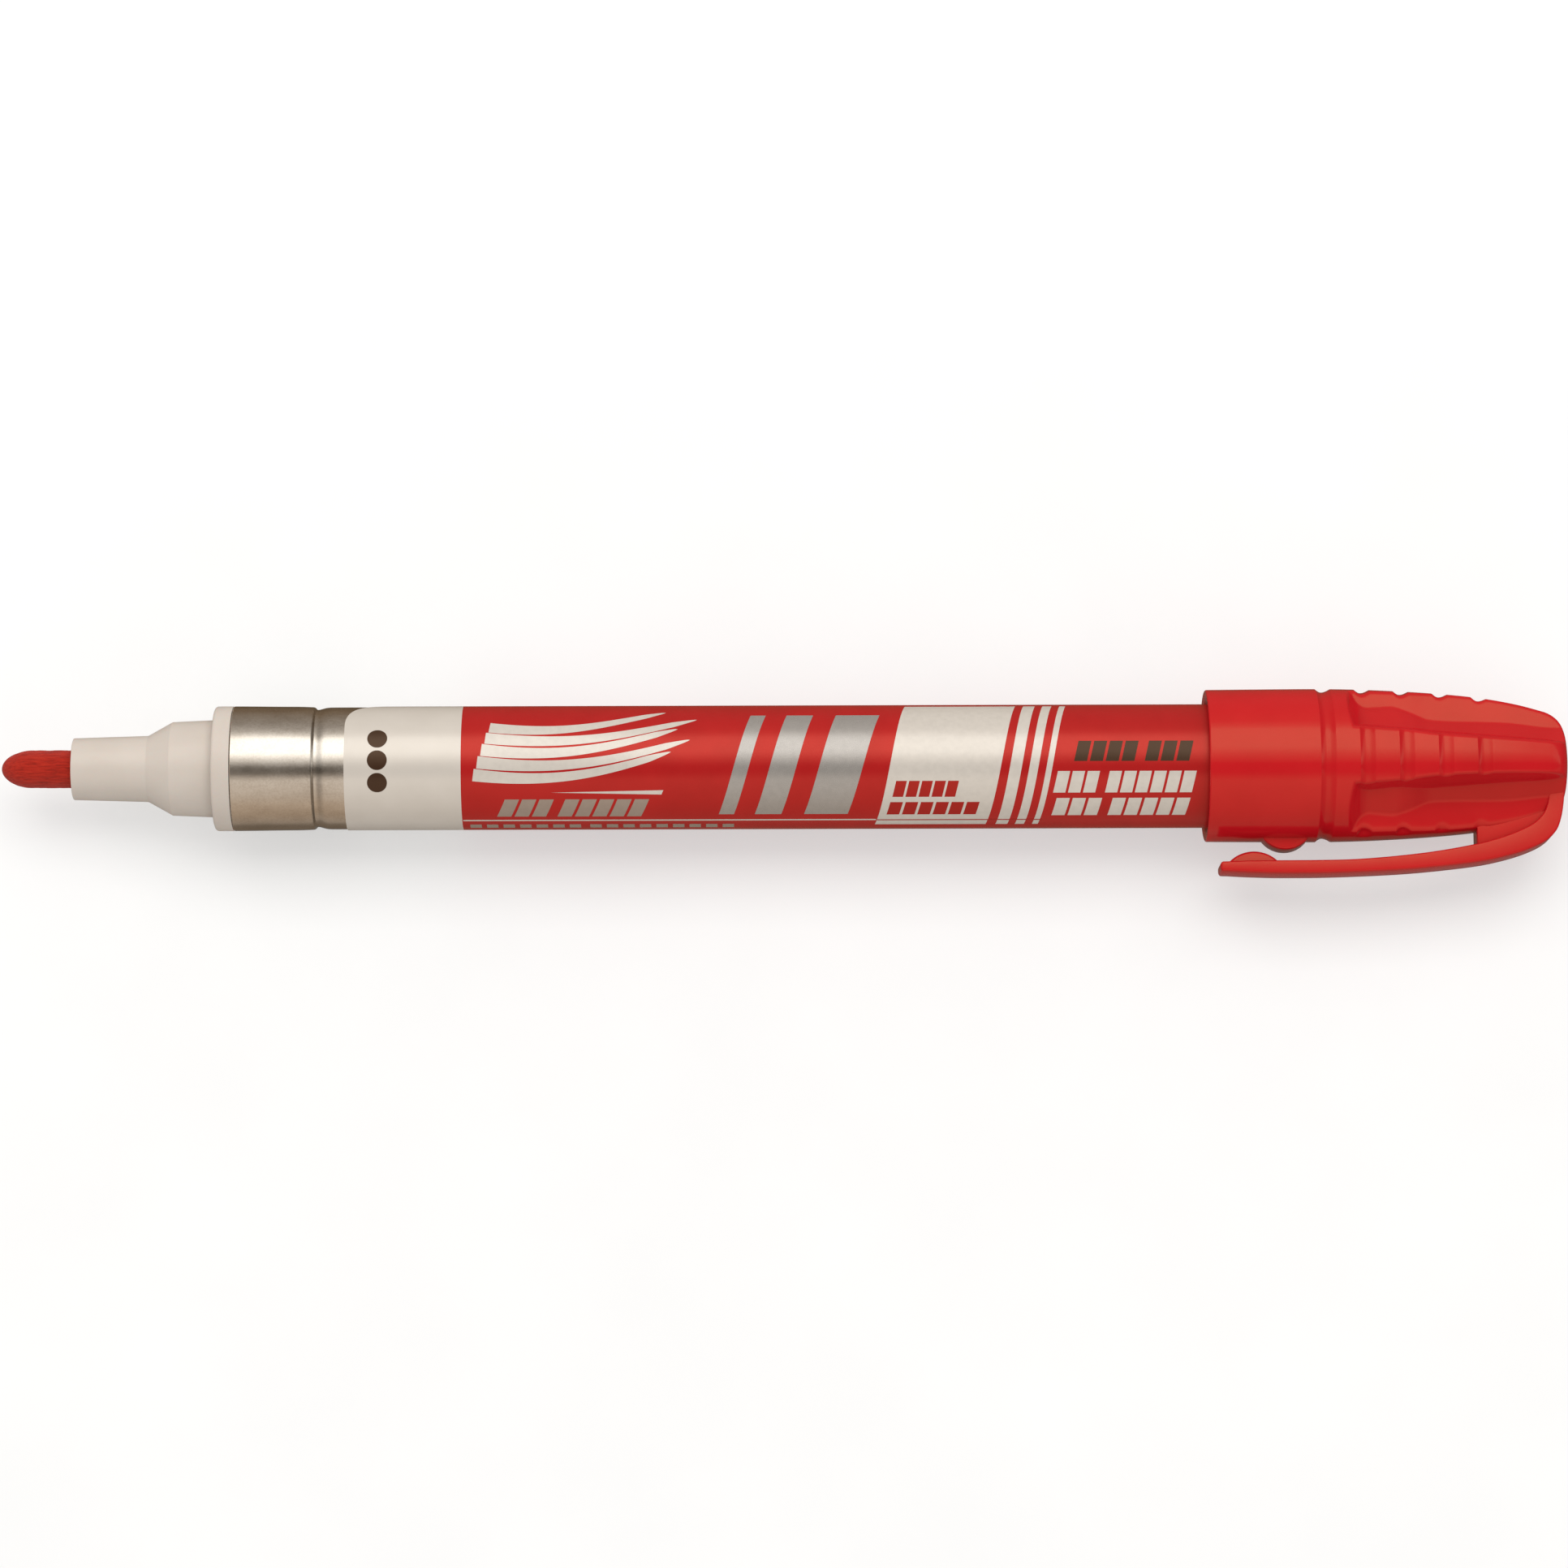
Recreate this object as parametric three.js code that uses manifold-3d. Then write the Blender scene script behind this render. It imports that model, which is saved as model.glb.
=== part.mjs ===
// A valve-action felt tip paint marker, lying on its side with the cap pushed on the back of the barrel.
// Units are millimetres. In the marker's own frame X runs along the axis from the tip of the nib to the end
// of the cap, and the clip stands off towards -Y. The exported group lays that frame on the plane Z = 0.
import * as THREE from "three";
import { mergeVertices } from "three/addons/utils/BufferGeometryUtils.js";
import Module from "manifold-3d";

const wasm = await Module();
wasm.setup();

// Driving dimensions.
const NIB_R = 2.02;
const NIB_DOME = 3.4; // length of the rounded bullet end
const NOZZLE_FRONT = 7.65; // where the nozzle starts, measured from the tip of the nib
const NOZZLE_FRONT_R = 3.28;
const COLLAR_FRONT = 22.75;
const COLLAR_R = 6.62;
const BARREL_FRONT = 24.75;
const BARREL_END = 137.8;
const BARREL_R = 6.48;
const BARREL_WALL = 0.42;
const GROOVE_AT = 33.6; // centre of the rolled groove that locks the nozzle in the barrel
const GROOVE_DEPTH = 0.24;
const LABEL_START = 36.8;
const LABEL_END = 134.6;
const LABEL_GAP = 0.03;
const LABEL_THICKNESS = 0.07;
const LABEL_SEAM_AT = 83; // degrees from the +Z side towards +Y, the middle of the bare strip
const LABEL_SEAM_WIDTH = 18; // degrees
const CAP_MOUTH = 127.8;
const CAP_LENGTH = 38.4;
const CAP_R = 8.17;
const CAP_BORE_R = 6.85;
const CLIP_WIDTH = 4.4;
const CLIP_FLAT = 10.2; // distance of the clip's flat inner face from the marker's axis
const CLIP_REACH = 11.78; // distance of the clip's outer face from the marker's axis
const CLIP_ROOT = 29.6; // where the clip arm ends, measured from the cap's mouth
const PIECE_GAP = 0.3; // between the clip arm and the root it flexes from
const BALL_R = 2.5;
const BALL_TRACK = 2.6; // each mixing ball's distance from the marker's middle plane
const FINE = 40; // segments round the cap
const ROUND = 32; // segments round the barrel and nozzle
const SMALL = 20; // segments round the small valve parts

const MATERIALS = {
  redPlastic: { color: 0xc81e22, roughness: 0.32, metalness: 0 },
  whitePlastic: { color: 0xe6e1d8, roughness: 0.4, metalness: 0 },
  clearPlastic: { color: 0xdcd8cc, roughness: 0.45, metalness: 0 },
  felt: { color: 0xa52318, roughness: 0.95, metalness: 0 },
  aluminium: { color: 0xc9c4ba, roughness: 0.25, metalness: 1 },
  film: { color: 0xc4161c, roughness: 0.3, metalness: 0 },
  rubber: { color: 0x1d1c1b, roughness: 0.8, metalness: 0 },
  steel: { color: 0xb9bbbd, roughness: 0.2, metalness: 1 },
};

const marker = new THREE.Group();

function addPiece(name, geometry, material, parent = marker) {
  const mesh = new THREE.Mesh(geometry, new THREE.MeshStandardMaterial(MATERIALS[material]));
  mesh.name = name;
  parent.add(mesh);
  return mesh;
}

// A solid of revolution about X. The profile is a closed loop of [position along X, radius], listed so that
// the loop runs forwards along the outer surface; ends on the axis need not be joined.
function turned(profile, segments) {
  const closed = profile[0][1] > 0 ? [...profile, profile[0]] : profile;
  const points = closed.map(([along, radius]) => new THREE.Vector2(radius, along));
  return new THREE.LatheGeometry(points, segments).rotateZ(-Math.PI / 2);
}

// A flat outline in X and Y, thickened evenly to both sides of the marker's middle plane.
function plate(shape, width, curveSegments = 8) {
  const geometry = new THREE.ExtrudeGeometry(shape, { depth: width, bevelEnabled: false, curveSegments });
  return geometry.translate(0, 0, -width / 2);
}

function solidOf(geometry) {
  const bare = geometry.clone();
  bare.deleteAttribute("normal");
  bare.deleteAttribute("uv");
  const merged = mergeVertices(bare, 1e-4);
  const mesh = new wasm.Mesh({
    numProp: 3,
    vertProperties: merged.attributes.position.array,
    triVerts: new Uint32Array(merged.index.array),
  });
  return new wasm.Manifold(mesh);
}

function geometryOf(solid) {
  const mesh = solid.getMesh();
  const geometry = new THREE.BufferGeometry();
  geometry.setAttribute("position", new THREE.BufferAttribute(mesh.vertProperties, 3));
  geometry.setIndex(new THREE.BufferAttribute(mesh.triVerts, 1));
  geometry.computeVertexNormals();
  return geometry;
}

// Points on a quarter ellipse that starts on the axis and opens out to the given radius.
function domePoints(start, length, radius, steps) {
  return Array.from({ length: steps + 1 }, (_, i) => {
    const turn = (i / steps) * (Math.PI / 2);
    return [start + length * (1 - Math.cos(turn)), radius * Math.sin(turn)];
  });
}

// The bullet nib: a felt rod that slides in the nozzle and pushes the valve stem.
const NIB_END = 22.3;
function nib() {
  const rod = [
    [NIB_END - 0.4, NIB_R],
    [NIB_END, NIB_R - 0.4],
    [NIB_END, 0],
  ];
  return turned([...domePoints(0, NIB_DOME, NIB_R, 6), ...rod], 24);
}

// The stepped nozzle: a collar stops it on the barrel's rim, and a sleeve behind the collar plugs the barrel.
const SLEEVE_R = 5.86;
const SLEEVE_END = 38.2;
const CHAMBER_R = 4.4;
const SEAL_AT = 28.6;
const SEAL_GROOVE_R = 5.1;
const SEAL_GROOVE_HALF = 0.6;
function nozzle() {
  const nibBore = NIB_R + 0.2;
  return turned(
    [
      [NOZZLE_FRONT, nibBore + 0.2],
      [NOZZLE_FRONT, NOZZLE_FRONT_R - 0.2],
      [NOZZLE_FRONT + 0.2, NOZZLE_FRONT_R],
      [15.6, 3.51],
      [18.2, 4.97],
      [COLLAR_FRONT, 5.17],
      [COLLAR_FRONT, COLLAR_R - 0.2],
      [COLLAR_FRONT + 0.2, COLLAR_R],
      [BARREL_FRONT - 0.05, COLLAR_R],
      [BARREL_FRONT - 0.05, SLEEVE_R],
      [SEAL_AT - SEAL_GROOVE_HALF, SLEEVE_R],
      [SEAL_AT - SEAL_GROOVE_HALF, SEAL_GROOVE_R],
      [SEAL_AT + SEAL_GROOVE_HALF, SEAL_GROOVE_R],
      [SEAL_AT + SEAL_GROOVE_HALF, SLEEVE_R],
      [GROOVE_AT - 1.1, SLEEVE_R],
      [GROOVE_AT, SLEEVE_R - GROOVE_DEPTH - 0.06],
      [GROOVE_AT + 1.1, SLEEVE_R],
      [SLEEVE_END - 0.5, SLEEVE_R],
      [SLEEVE_END, SLEEVE_R - 0.4],
      [SLEEVE_END, CHAMBER_R],
      [23.6, CHAMBER_R],
      [23.6, 2.9],
      [21.2, 2.9],
      [20.4, nibBore],
      [NOZZLE_FRONT + 0.2, nibBore],
    ],
    ROUND,
  );
}

// The rubber ring in the sleeve's groove, which keeps the paint in.
function barrelSeal() {
  const ring = new THREE.TorusGeometry(5.58, 0.42, 8, ROUND);
  return ring.rotateY(Math.PI / 2).translate(SEAL_AT, 0, 0);
}

// The deep-drawn aluminium barrel: open at the front, closed by a flat floor with a rounded edge at the back.
function barrel() {
  const bore = BARREL_R - BARREL_WALL;
  const flare = COLLAR_R - BARREL_R; // the mouth is swaged out to the collar's size
  const floor = BARREL_END - 0.7;
  const floorRound = (radius, position) =>
    [1, 2, 3, 4].map((i) => {
      const turn = (i / 4) * (Math.PI / 2);
      return [position - radius + radius * Math.sin(turn), radius * Math.cos(turn) - radius];
    });
  const outerCorner = floorRound(1.2, BARREL_END).map(([along, inset]) => [along, BARREL_R + inset]);
  const innerCorner = floorRound(0.8, floor).map(([along, inset]) => [along, bore + inset]);
  return turned(
    [
      [BARREL_FRONT, BARREL_R + flare],
      [GROOVE_AT - 2.4, BARREL_R + 0.09],
      [GROOVE_AT - 0.9, BARREL_R + 0.04],
      [GROOVE_AT - 0.25, BARREL_R - GROOVE_DEPTH],
      [GROOVE_AT + 0.25, BARREL_R - GROOVE_DEPTH],
      [GROOVE_AT + 0.9, BARREL_R],
      [BARREL_END - 1.2, BARREL_R],
      ...outerCorner,
      [BARREL_END, 0],
      [floor, 0],
      ...innerCorner.reverse(),
      [floor - 0.8, bore],
      [GROOVE_AT + 0.9, bore],
      [GROOVE_AT + 0.25, bore - GROOVE_DEPTH],
      [GROOVE_AT - 0.25, bore - GROOVE_DEPTH],
      [GROOVE_AT - 0.9, bore],
      [GROOVE_AT - 2.4, bore + 0.09],
      [BARREL_FRONT, bore + flare],
    ],
    ROUND,
  );
}

// The printed film wrapped round the barrel; its two long edges leave a bare strip between them.
function label() {
  const inner = BARREL_R + LABEL_GAP;
  const outer = inner + LABEL_THICKNESS;
  const start = THREE.MathUtils.degToRad(LABEL_SEAM_WIDTH / 2);
  const end = 2 * Math.PI - start;
  const band = new THREE.Shape();
  band.absarc(0, 0, outer, start, end, false);
  band.absarc(0, 0, inner, end, start, true);
  const length = LABEL_END - LABEL_START;
  const film = new THREE.ExtrudeGeometry(band, { depth: length, bevelEnabled: false, curveSegments: 48 });
  film.rotateY(Math.PI / 2); // the band's X axis, where the seam is, now points along -Z
  film.rotateX(THREE.MathUtils.degToRad(180 - LABEL_SEAM_AT));
  return film.translate(LABEL_START, 0, 0);
}

// The soft seat ring behind the nib; the valve stem's cone closes its hole.
const SEAT_FRONT = 24.2;
const SEAT_BACK = 25.8;
function valveSeat() {
  return turned(
    [
      [SEAT_FRONT, 1.35],
      [SEAT_FRONT, CHAMBER_R - 0.15],
      [SEAT_BACK, CHAMBER_R - 0.15],
      [SEAT_BACK, 1.9],
      [SEAT_BACK - 0.5, 1.35],
    ],
    SMALL,
  );
}

// The cup behind the seat that houses the spring, with four windows that let paint through to the seat.
const CAGE_FRONT = 26;
const CAGE_FLOOR = 37.6;
const CAGE_END = 38.6;
function valveCage() {
  const cup = turned(
    [
      [CAGE_FRONT, 3.4],
      [CAGE_FRONT, CHAMBER_R - 0.15],
      [CAGE_END, CHAMBER_R - 0.15],
      [CAGE_END, 1.15],
      [CAGE_FLOOR, 1.15],
      [CAGE_FLOOR, 3.4],
    ],
    24,
  );
  const window = new THREE.BoxGeometry(6, 10, 2.4).translate(32.2, 0, 0);
  const crossWindow = window.clone().rotateX(Math.PI / 2);
  return geometryOf(solidOf(cup).subtract(solidOf(window)).subtract(solidOf(crossWindow)));
}

// The plastic stem: a push rod in front, the sealing cone, the spring's flange and a tail guided by the cage.
const STEM_R = 0.9;
const STEM_END = 40;
const FLANGE_R = 2.35;
const FLANGE_BACK = 28.4;
function valveStem() {
  const front = NIB_END + 0.1;
  return turned(
    [
      [front, 0],
      [front, STEM_R],
      [SEAT_BACK - 0.9, STEM_R],
      [SEAT_BACK + 0.5, FLANGE_R],
      [FLANGE_BACK, FLANGE_R],
      [FLANGE_BACK, STEM_R],
      [STEM_END - 0.4, STEM_R],
      [STEM_END, STEM_R - 0.3],
      [STEM_END, 0],
    ],
    SMALL,
  );
}

// The return spring, between the stem's flange and the cage's floor.
const WIRE_R = 0.2;
class Coil extends THREE.Curve {
  constructor(start, end, radius, turns) {
    super();
    Object.assign(this, { start, end, radius, turns });
  }

  getPoint(t, target = new THREE.Vector3()) {
    const turn = t * this.turns * 2 * Math.PI;
    const along = this.start + (this.end - this.start) * t;
    return target.set(along, this.radius * Math.cos(turn), this.radius * Math.sin(turn));
  }
}

function valveSpring() {
  const turns = 6.5;
  const path = new Coil(FLANGE_BACK + 0.3, CAGE_FLOOR - 0.3, 1.75, turns);
  const wire = new THREE.Shape().absarc(0, 0, WIRE_R, 0, 2 * Math.PI);
  return new THREE.ExtrudeGeometry(wire, {
    extrudePath: path,
    steps: Math.round(turns * 12),
    curveSegments: 3,
    bevelEnabled: false,
  });
}

// A steel ball that rolls along the bottom of the barrel and stirs the paint when the marker is shaken.
function addMixingBall(name, along, side) {
  const reach = BARREL_R - BARREL_WALL - BALL_R - 0.1; // from the axis to the ball's centre
  const drop = Math.sqrt(reach ** 2 - BALL_TRACK ** 2);
  const ball = addPiece(name, new THREE.SphereGeometry(BALL_R, 14, 10), "steel");
  ball.position.set(along, side * BALL_TRACK, -drop);
}

// The cap's lobed outer surface. Its outline carries a ring groove and four finger notches, and four scoops
// run from behind the ring groove to the cap's end, between four lobes.
const RING_AT = 12.4; // distances along the cap are measured from its mouth
const NOTCH_PITCH = 4.2;
const NOTCHES = 4;
const NOTCH_DEPTH = 0.32;
const SCOOP_R = 4.3;
const SCOOP_START = 15.2;
const SCOOP_FULL = 16.6;
// Outer radius along the cap, [distance, radius], leaving the grooves out.
const CAP_OUTLINE = [
  [0.35, 8.14],
  [11, CAP_R],
  [16, 8.12],
  [20, 7.98],
  [24, 7.78],
  [28, 7.42],
  [31, 7.0],
  [33.5, 6.5],
  [35.8, 5.88],
  [37, 5.25],
  [37.8, 4.4],
  [38.2, 3],
];
// Radius of the scoops' floors along the cap.
const SCOOP_FLOOR = [
  [SCOOP_START, 8.3],
  [SCOOP_FULL, 6.45],
  [18, 6.32],
  [20.4, 5.95],
  [22.6, 5.4],
  [24.6, 5.08],
  [28.8, 4.92],
  [31.6, 4.7],
  [38.4, 4.3],
];

// The value at a position in a table of [position, value], straight between its rows.
function valueAt(table, position) {
  const next = table.findIndex(([at]) => at >= position);
  if (next === 0) return table[0][1];
  if (next < 0) return table[table.length - 1][1];
  const [[x0, y0], [x1, y1]] = [table[next - 1], table[next]];
  return y0 + ((y1 - y0) * (position - x0)) / (x1 - x0);
}

function capOutline() {
  const points = [
    [0, 0],
    [0, 7.8],
    ...CAP_OUTLINE.filter(([at]) => at < RING_AT),
  ];
  for (let i = 0; i <= NOTCHES; i++) {
    const centre = RING_AT + i * NOTCH_PITCH;
    for (const [offset, depth] of [
      [-0.8, 0],
      [-0.3, NOTCH_DEPTH],
      [0.3, NOTCH_DEPTH],
      [0.85, 0],
    ])
      points.push([centre + offset, valueAt(CAP_OUTLINE, centre + offset) - depth]);
    if (i === 0) points.push([SCOOP_START, valueAt(CAP_OUTLINE, SCOOP_START)]);
  }
  const lastNotch = RING_AT + NOTCHES * NOTCH_PITCH + 1;
  points.push(...CAP_OUTLINE.filter(([at]) => at > lastNotch), [CAP_LENGTH, 0]);
  return points;
}

// Radius of the scoop surface at an angle from the scoop's middle line: a cylinder beside the axis.
function scoopRadius(floor, angle) {
  const centre = floor + SCOOP_R;
  const inside = SCOOP_R ** 2 - (centre * Math.sin(angle)) ** 2;
  return inside > 0 ? centre * Math.cos(angle) - Math.sqrt(inside) : Infinity;
}

function lobedBody() {
  const body = turned(capOutline(), FINE);
  const position = body.attributes.position;
  for (let i = 0; i < position.count; i++) {
    const [x, y, z] = [position.getX(i), position.getY(i), position.getZ(i)];
    const radius = Math.hypot(y, z);
    if (x < SCOOP_START || radius < 1) continue;
    const quarter = Math.PI / 2;
    const angle = ((Math.atan2(y, z) % quarter) + quarter) % quarter;
    const limit = scoopRadius(valueAt(SCOOP_FLOOR, x), angle - quarter / 2);
    if (limit < radius) position.setXYZ(i, x, (y * limit) / radius, (z * limit) / radius);
  }
  return body;
}

// The hollow inside the cap: a wide bore that grips the barrel, then a stepped seat for the inner cap.
function capBore() {
  return turned(
    [
      [-1, 0],
      [-1, CAP_BORE_R + 0.45],
      [0, CAP_BORE_R + 0.45],
      [0.5, CAP_BORE_R],
      [13.6, CAP_BORE_R - 0.1],
      [13.8, 5.55],
      [18.4, 5.45],
      [20, 4.2],
      [29.2, 4.15],
      [29.8, 3.1],
      [36.6, 3],
      [36.6, 0],
    ],
    FINE,
  );
}

// The root that carries the clip: it closes the cap's lower back corner.
function clipRoot() {
  const start = CLIP_ROOT + PIECE_GAP;
  const shape = new THREE.Shape();
  shape.moveTo(start, -4);
  shape.lineTo(start, -10.42);
  shape.quadraticCurveTo(33.6, -9.75, 36.1, -8.25);
  shape.quadraticCurveTo(37.9, -7.2, 38.2, -3);
  shape.lineTo(38.2, -1);
  shape.lineTo(37, -1);
  shape.lineTo(37, -4);
  return plate(shape, CLIP_WIDTH);
}

// The rounded pad on the cap that faces the clip's own pad.
function capPad() {
  const radius = 3;
  const pad = new THREE.CylinderGeometry(radius, radius, 3.2, 28).rotateX(Math.PI / 2);
  return pad.translate(8.6, radius - 9.08, 0);
}

function cap() {
  const body = solidOf(lobedBody()).add(solidOf(clipRoot())).add(solidOf(capPad()));
  return geometryOf(body.subtract(solidOf(capBore())));
}

// The soft cup inside the cap that closes over the nozzle's front when the cap is on the tip.
function innerCap() {
  return turned(
    [
      [18.1, 5.2],
      [18.5, 5.2],
      [20.2, 4.02],
      [29, 4.02],
      [29.6, 2.9],
      [36.3, 2.8],
      [36.3, 0],
      [35.9, 0],
      [35.9, 2.35],
      [29, 2.45],
      [28.7, 3.6],
      [20, 3.65],
    ],
    24,
  );
}

// The clip arm, with the pad near its tip that holds a pocket's edge against the cap.
function clip() {
  const shape = new THREE.Shape();
  const padRise = 1.1;
  const padHalf = 2.6;
  const padR = (padHalf ** 2 + padRise ** 2) / (2 * padRise);
  const padAt = 5.35;
  const padLow = -10.24;
  const padTurn = Math.asin(padHalf / padR);
  shape.moveTo(CLIP_ROOT, -8.72);
  shape.quadraticCurveTo(22, -9.75, 15.3, -CLIP_FLAT);
  shape.lineTo(11.1, -CLIP_FLAT);
  shape.lineTo(padAt + padHalf, padLow);
  shape.absarc(padAt, padLow + padRise - padR, padR, Math.PI / 2 - padTurn, Math.PI / 2 + padTurn, false);
  shape.lineTo(2.2, -10.3);
  shape.absarc(2.35, -10.92, 0.65, Math.PI / 2, 1.5 * Math.PI, false);
  shape.quadraticCurveTo(6.5, -CLIP_REACH, 10, -CLIP_REACH);
  shape.quadraticCurveTo(22, -CLIP_REACH + 0.1, CLIP_ROOT, -10.5);
  return plate(shape, CLIP_WIDTH, 6);
}

addPiece("nib", nib(), "felt");
addPiece("nozzle", nozzle(), "whitePlastic");
addPiece("barrel_seal", barrelSeal(), "rubber");
addPiece("valve_seat", valveSeat(), "rubber");
addPiece("valve_cage", valveCage(), "clearPlastic");
addPiece("valve_stem", valveStem(), "whitePlastic");
addPiece("valve_spring", valveSpring(), "steel");
addPiece("barrel", barrel(), "aluminium");
addPiece("label", label(), "film");
addMixingBall("mixing_ball_1", 62, 1);
addMixingBall("mixing_ball_2", 70, -1);

const capGroup = new THREE.Group();
capGroup.position.x = CAP_MOUTH;
marker.add(capGroup);
addPiece("cap", cap(), "redPlastic", capGroup);
addPiece("inner_cap", innerCap(), "clearPlastic", capGroup);
addPiece("clip", clip(), "redPlastic", capGroup);

// Lay the marker on Z = 0, with the origin under the middle of its footprint.
marker.position.set(-(CAP_MOUTH + CAP_LENGTH) / 2, (CLIP_REACH - CAP_R) / 2, CAP_R);

const part = new THREE.Group();
part.add(marker);

export default part;
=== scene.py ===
# The visual model of a felt tip paint marker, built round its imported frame.
# Blender works in metres. Profiles are written in millimetres in the marker's own frame: s runs along the
# axis from the tip of the nib, r is the distance from the axis, and angles turn from the +Z side towards +Y.
import math

import bmesh
import bpy
import numpy as np
from mathutils import Matrix, Vector, noise


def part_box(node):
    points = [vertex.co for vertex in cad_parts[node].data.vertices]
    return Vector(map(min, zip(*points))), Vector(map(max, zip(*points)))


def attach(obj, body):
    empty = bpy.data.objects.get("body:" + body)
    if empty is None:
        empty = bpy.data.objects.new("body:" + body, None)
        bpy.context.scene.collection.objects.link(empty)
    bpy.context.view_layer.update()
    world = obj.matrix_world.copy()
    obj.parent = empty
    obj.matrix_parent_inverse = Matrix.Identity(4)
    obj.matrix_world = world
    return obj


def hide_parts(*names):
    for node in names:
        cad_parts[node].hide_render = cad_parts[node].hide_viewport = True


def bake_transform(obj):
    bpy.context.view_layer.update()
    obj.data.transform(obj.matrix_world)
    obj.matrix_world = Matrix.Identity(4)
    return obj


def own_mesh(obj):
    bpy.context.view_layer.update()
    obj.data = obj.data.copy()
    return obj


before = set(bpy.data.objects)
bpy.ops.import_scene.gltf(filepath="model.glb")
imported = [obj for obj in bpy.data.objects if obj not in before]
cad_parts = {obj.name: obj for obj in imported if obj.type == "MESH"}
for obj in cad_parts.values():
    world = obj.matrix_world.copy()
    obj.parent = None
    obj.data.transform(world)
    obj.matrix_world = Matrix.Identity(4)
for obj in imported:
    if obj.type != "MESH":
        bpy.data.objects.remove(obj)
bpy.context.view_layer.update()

MM = 0.001
SAME = 1e-7  # metres, below which two heights are one
ON_AXIS = 1e-6  # millimetres, below which a point lies on the axis

# ---------------------------------------------------------------------------------------------------------
# Places taken from the frame


def middle(node):
    low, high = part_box(node)
    return (low + high) / 2


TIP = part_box("nib")[0].x
AXIS = middle("barrel")
ORIGIN = np.array([TIP, AXIS.y, AXIS.z])


def along(x):
    """A frame position in metres as a distance from the tip in millimetres."""
    return (x - TIP) / MM


def span(node):
    low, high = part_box(node)
    return along(low.x), along(high.x)


def radius_of(node):
    low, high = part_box(node)
    return (high.z - low.z) / 2 / MM


NIB_END = span("nib")[1]
NOZZLE_FRONT, SLEEVE_END = span("nozzle")
BARREL_FRONT, BARREL_END = span("barrel")
LABEL_START, LABEL_END = span("label")
CAP_MOUTH, CAP_END = span("cap")
NIB_R = radius_of("nib")
COLLAR_R = radius_of("nozzle")
LABEL_R = radius_of("label")
CAP_LENGTH = CAP_END - CAP_MOUTH

# Sizes in millimetres that the frame's boxes don't give
BARREL_R = 6.48
BARREL_BORE_R = 6.06
GROOVE_AT = 33.6  # the rolled groove that locks the nozzle in
COLLAR_FRONT = 22.75
PRINT_FACES = math.radians(-9)  # the print's middle line
SEAM_AT = math.radians(83)  # the bare strip between the label's ends
SEAM_HALF = math.radians(6.5)
WHITE_END = 49.1  # where the label turns from white to red


# ---------------------------------------------------------------------------------------------------------
# Materials


def fill_ramp(node, stops):
    """Gives a colour ramp its stops, as (position, colour) in rising order."""
    elements = node.color_ramp.elements
    for element, (at, colour) in zip(elements, (stops[0], stops[-1])):
        element.position = at
        element.color = (*colour, 1)
    for at, colour in stops[1:-1]:
        elements.new(at).color = (*colour, 1)


class Shader:
    """A node material with its Principled shader, and short calls for the nodes that feed it."""

    def __init__(self, name):
        self.material = bpy.data.materials.new(name)
        self.material.use_nodes = True
        self.tree = self.material.node_tree
        self.surface = self.tree.nodes["Principled BSDF"]
        self.place = self.add("ShaderNodeTexCoord").outputs["Object"]

    def add(self, kind, **settings):
        node = self.tree.nodes.new(kind)
        for key, value in settings.items():
            setattr(node, key, value)
        return node

    def feed(self, socket, value):
        if isinstance(value, bpy.types.NodeSocket):
            self.tree.links.new(value, socket)
        else:
            socket.default_value = value

    def set(self, **values):
        for name, value in values.items():
            self.feed(self.surface.inputs[name.replace("_", " ")], value)

    def noise(self, scale, stretch=(1, 1, 1), detail=4.0, rough=0.55):
        """Noise whose features are about 1/scale metres across, stretched along the axes."""
        mapping = self.add("ShaderNodeMapping")
        self.feed(mapping.inputs["Vector"], self.place)
        mapping.inputs["Scale"].default_value = [1 / f for f in stretch]
        texture = self.add("ShaderNodeTexNoise")
        self.feed(texture.inputs["Vector"], mapping.outputs[0])
        for key, value in {"Scale": scale, "Detail": detail, "Roughness": rough}.items():
            texture.inputs[key].default_value = value
        return texture.outputs["Fac"]

    def ramp(self, fac, *stops):
        node = self.add("ShaderNodeValToRGB")
        self.feed(node.inputs["Fac"], fac)
        fill_ramp(node, stops)
        return node.outputs["Color"]

    def range(self, fac, low, high):
        node = self.add("ShaderNodeMapRange")
        self.feed(node.inputs["Value"], fac)
        node.inputs["To Min"].default_value = low
        node.inputs["To Max"].default_value = high
        return node.outputs["Result"]

    def math(self, operation, a, b=0.0):
        node = self.add("ShaderNodeMath", operation=operation)
        self.feed(node.inputs[0], a)
        self.feed(node.inputs[1], b)
        return node.outputs[0]

    def mix(self, fac, a, b, blend="MIX"):
        node = self.add("ShaderNodeMix", data_type="RGBA", blend_type=blend)
        self.feed(node.inputs["Factor"], fac)
        for socket, value in ((node.inputs[6], a), (node.inputs[7], b)):
            self.feed(socket, value if isinstance(value, bpy.types.NodeSocket) else (*value, 1))
        return node.outputs[2]

    def bump(self, height, distance, strength=1.0):
        node = self.add("ShaderNodeBump")
        self.feed(node.inputs["Height"], height)
        node.inputs["Distance"].default_value = distance
        node.inputs["Strength"].default_value = strength
        self.set(Normal=node.outputs[0])

    def crevices(self, distance):
        """Near 1 in the open and lower in corners."""
        node = self.add("ShaderNodeAmbientOcclusion")
        node.inputs["Distance"].default_value = distance
        return node.outputs["AO"]


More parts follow.
